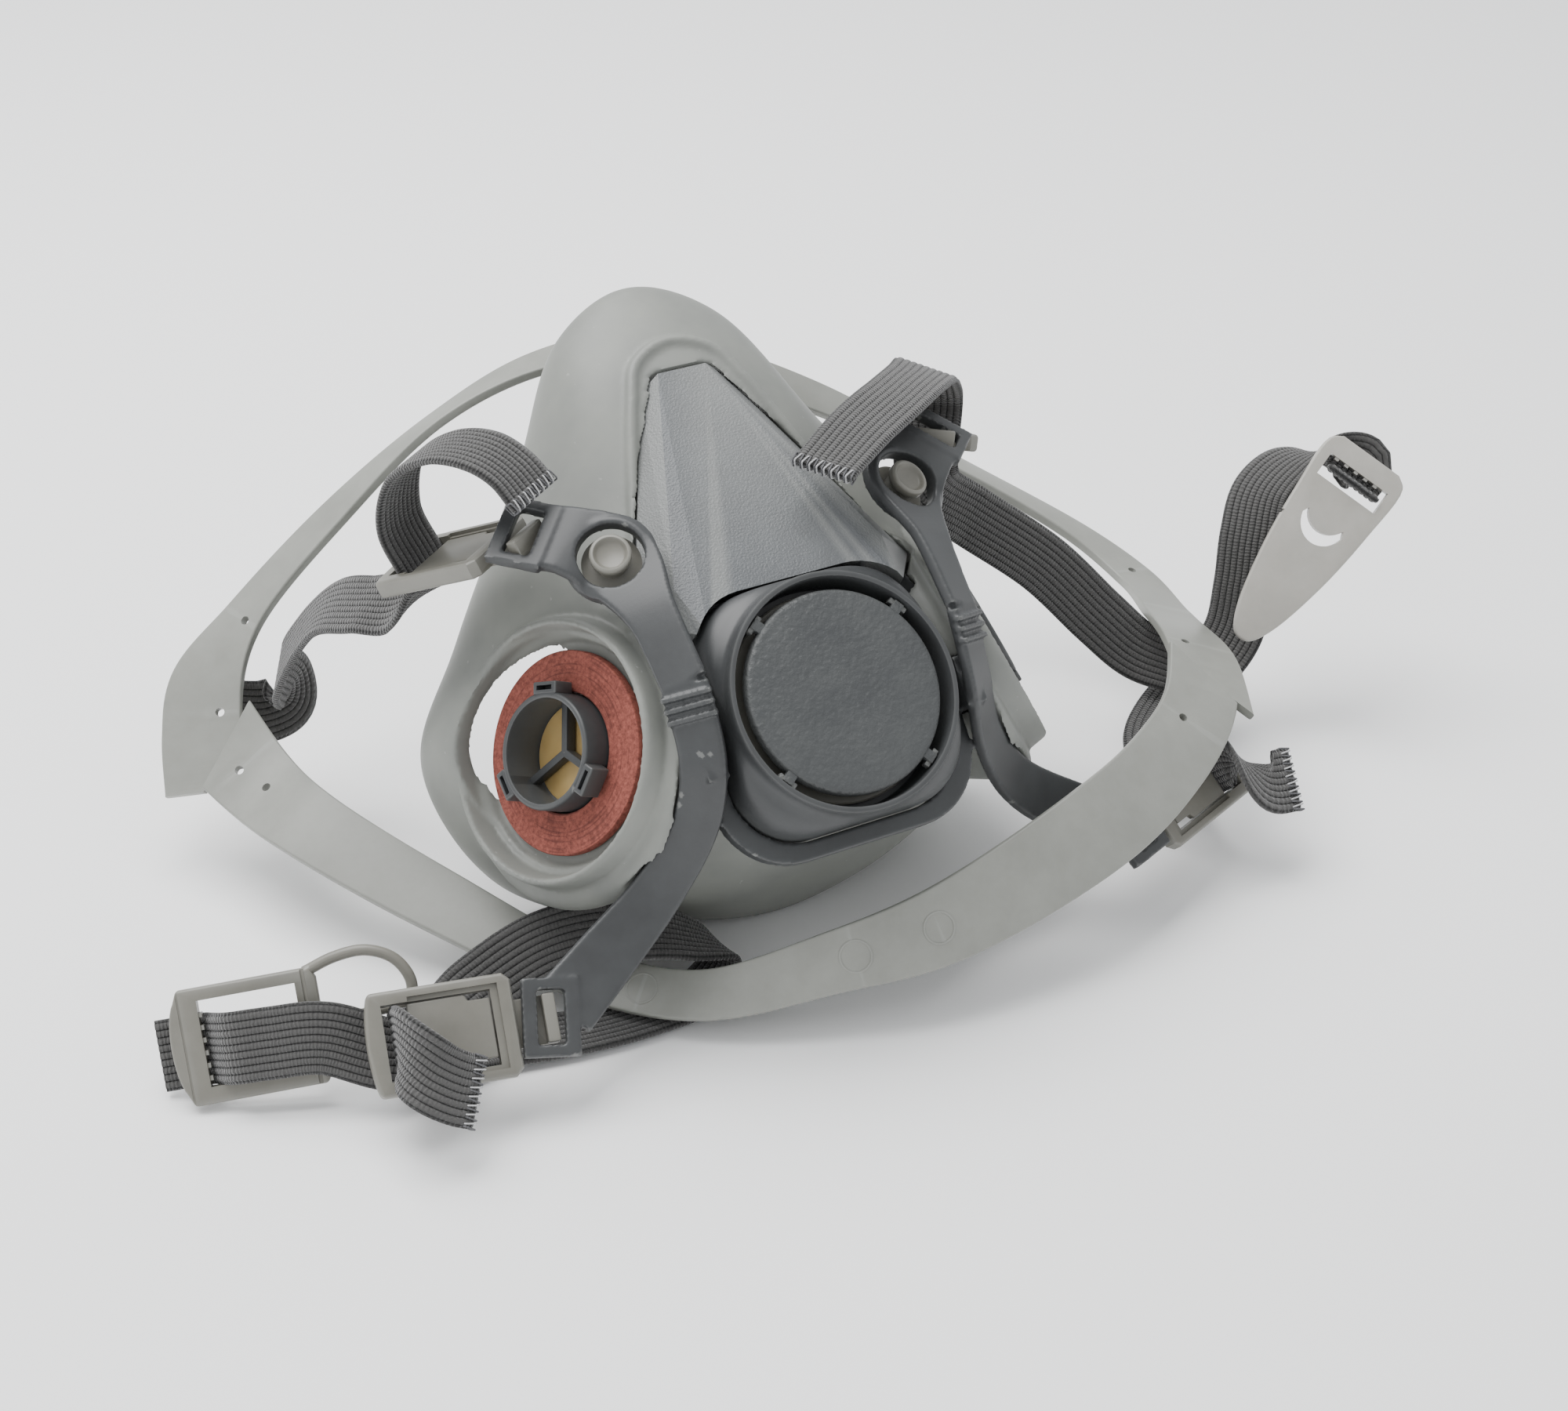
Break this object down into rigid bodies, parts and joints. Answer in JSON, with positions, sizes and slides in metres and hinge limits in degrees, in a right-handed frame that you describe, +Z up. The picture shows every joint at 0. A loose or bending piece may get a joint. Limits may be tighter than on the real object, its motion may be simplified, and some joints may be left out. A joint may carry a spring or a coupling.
{
  "type": "painters respirator mask",
  "caption": "Elastomer half-mask respirator lying face up, with bayonet filter ports, front exhalation valve, harness yoke, buckled elastic straps, neck clips and a head cradle.",
  "frame": {"origin": "point on the table under the middle of the whole object, harness included", "axes": "+X across the mask towards the wearer's right-hand filter port as laid, +Y from chin to nose, +Z up from the table"},
  "size_m": [0.2936, 0.1476, 0.115],
  "materials": {
    "facepiece": "satin moulded elastomer",
    "dark_panel": "fine spark-eroded texture",
    "dark_moulding": "satin moulded",
    "cover": "coarse pebble texture",
    "pale_moulding": "satin moulded",
    "clear_moulding": "translucent moulded",
    "cradle_plastic": "satin moulded, flexible",
    "gasket": "matt compressed fibre and rubber",
    "valve_flap": "smooth silicone",
    "webbing": "knitted elastic with lengthwise ribs"
  },
  "bodies": {
    "mask": {"facepiece": "facepiece", "front_panel": "dark_panel", "harness_yoke": "dark_moulding", "valve_housing": "dark_moulding", "valve_seat": "pale_moulding", "inhalation_port_left": "dark_moulding", "port_gasket_left": "gasket", "stud_left": "pale_moulding", "inhalation_port_right": "dark_moulding", "port_gasket_right": "gasket", "stud_right": "pale_moulding", "buckle_upper_left": "pale_moulding", "buckle_upper_right": "pale_moulding", "buckle_lower_left": "pale_moulding", "buckle_lower_right": "pale_moulding", "strap_upper_left": "webbing", "strap_upper_right": "webbing", "strap_lower_left": "webbing", "strap_lower_right": "webbing", "neck_clip_left": "pale_moulding", "neck_clip_right": "clear_moulding", "cradle_lower_band": "cradle_plastic", "cradle_upper_band": "cradle_plastic"},
    "exhalation_valve": {"exhalation_valve": "valve_flap"},
    "exhalation_cover": {"exhalation_cover": "cover"},
    "inhalation_valve_left": {"inhalation_valve_left": "valve_flap"},
    "inhalation_valve_right": {"inhalation_valve_right": "valve_flap"},
    "buckle_plate_upper_left": {"buckle_plate_upper_left": "pale_moulding"},
    "buckle_plate_upper_right": {"buckle_plate_upper_right": "pale_moulding"},
    "buckle_plate_lower_left": {"buckle_plate_lower_left": "pale_moulding"},
    "buckle_plate_lower_right": {"buckle_plate_lower_right": "pale_moulding"}
  },
  "joints": [
    {"name": "exhalation_valve_lift", "type": "slide", "parent": "mask", "child": "exhalation_valve", "axis": [0, -0.7547, 0.6561], "range_m": [0, 0.0018], "stiffness_N_per_m": 30},
    {"name": "exhalation_cover_pull", "type": "slide", "parent": "mask", "child": "exhalation_cover", "axis": [0, -0.7547, 0.6561], "range_m": [0, 0.008]},
    {"name": "inhalation_valve_left_lift", "type": "slide", "parent": "mask", "child": "inhalation_valve_left", "axis": [0.8602, 0.22, -0.4601], "range_m": [0, 0.0015], "stiffness_N_per_m": 30},
    {"name": "inhalation_valve_right_lift", "type": "slide", "parent": "mask", "child": "inhalation_valve_right", "axis": [-0.8602, 0.22, -0.4601], "range_m": [0, 0.0015], "stiffness_N_per_m": 30},
    {"name": "buckle_plate_upper_left_tilt", "type": "hinge", "parent": "mask", "child": "buckle_plate_upper_left", "pos_m": [-0.06606, 0.00148, 0.08562], "axis": [0.8383, 0.538, 0.0881], "range_deg": [0, 15]},
    {"name": "buckle_plate_upper_right_tilt", "type": "hinge", "parent": "mask", "child": "buckle_plate_upper_right", "pos_m": [0.03327, 0.00148, 0.08562], "axis": [0.8383, -0.538, -0.0881], "range_deg": [0, 15]},
    {"name": "buckle_plate_lower_left_tilt", "type": "hinge", "parent": "mask", "child": "buckle_plate_lower_left", "pos_m": [-0.09248, -0.05219, 0.01714], "axis": [0.1638, 0.6798, 0.7149], "range_deg": [0, 15]},
    {"name": "buckle_plate_lower_right_tilt", "type": "hinge", "parent": "mask", "child": "buckle_plate_lower_right", "pos_m": [0.0594, -0.05133, 0.01805], "axis": [0.2771, -0.6491, -0.7085], "range_deg": [0, 15]}
  ]
}
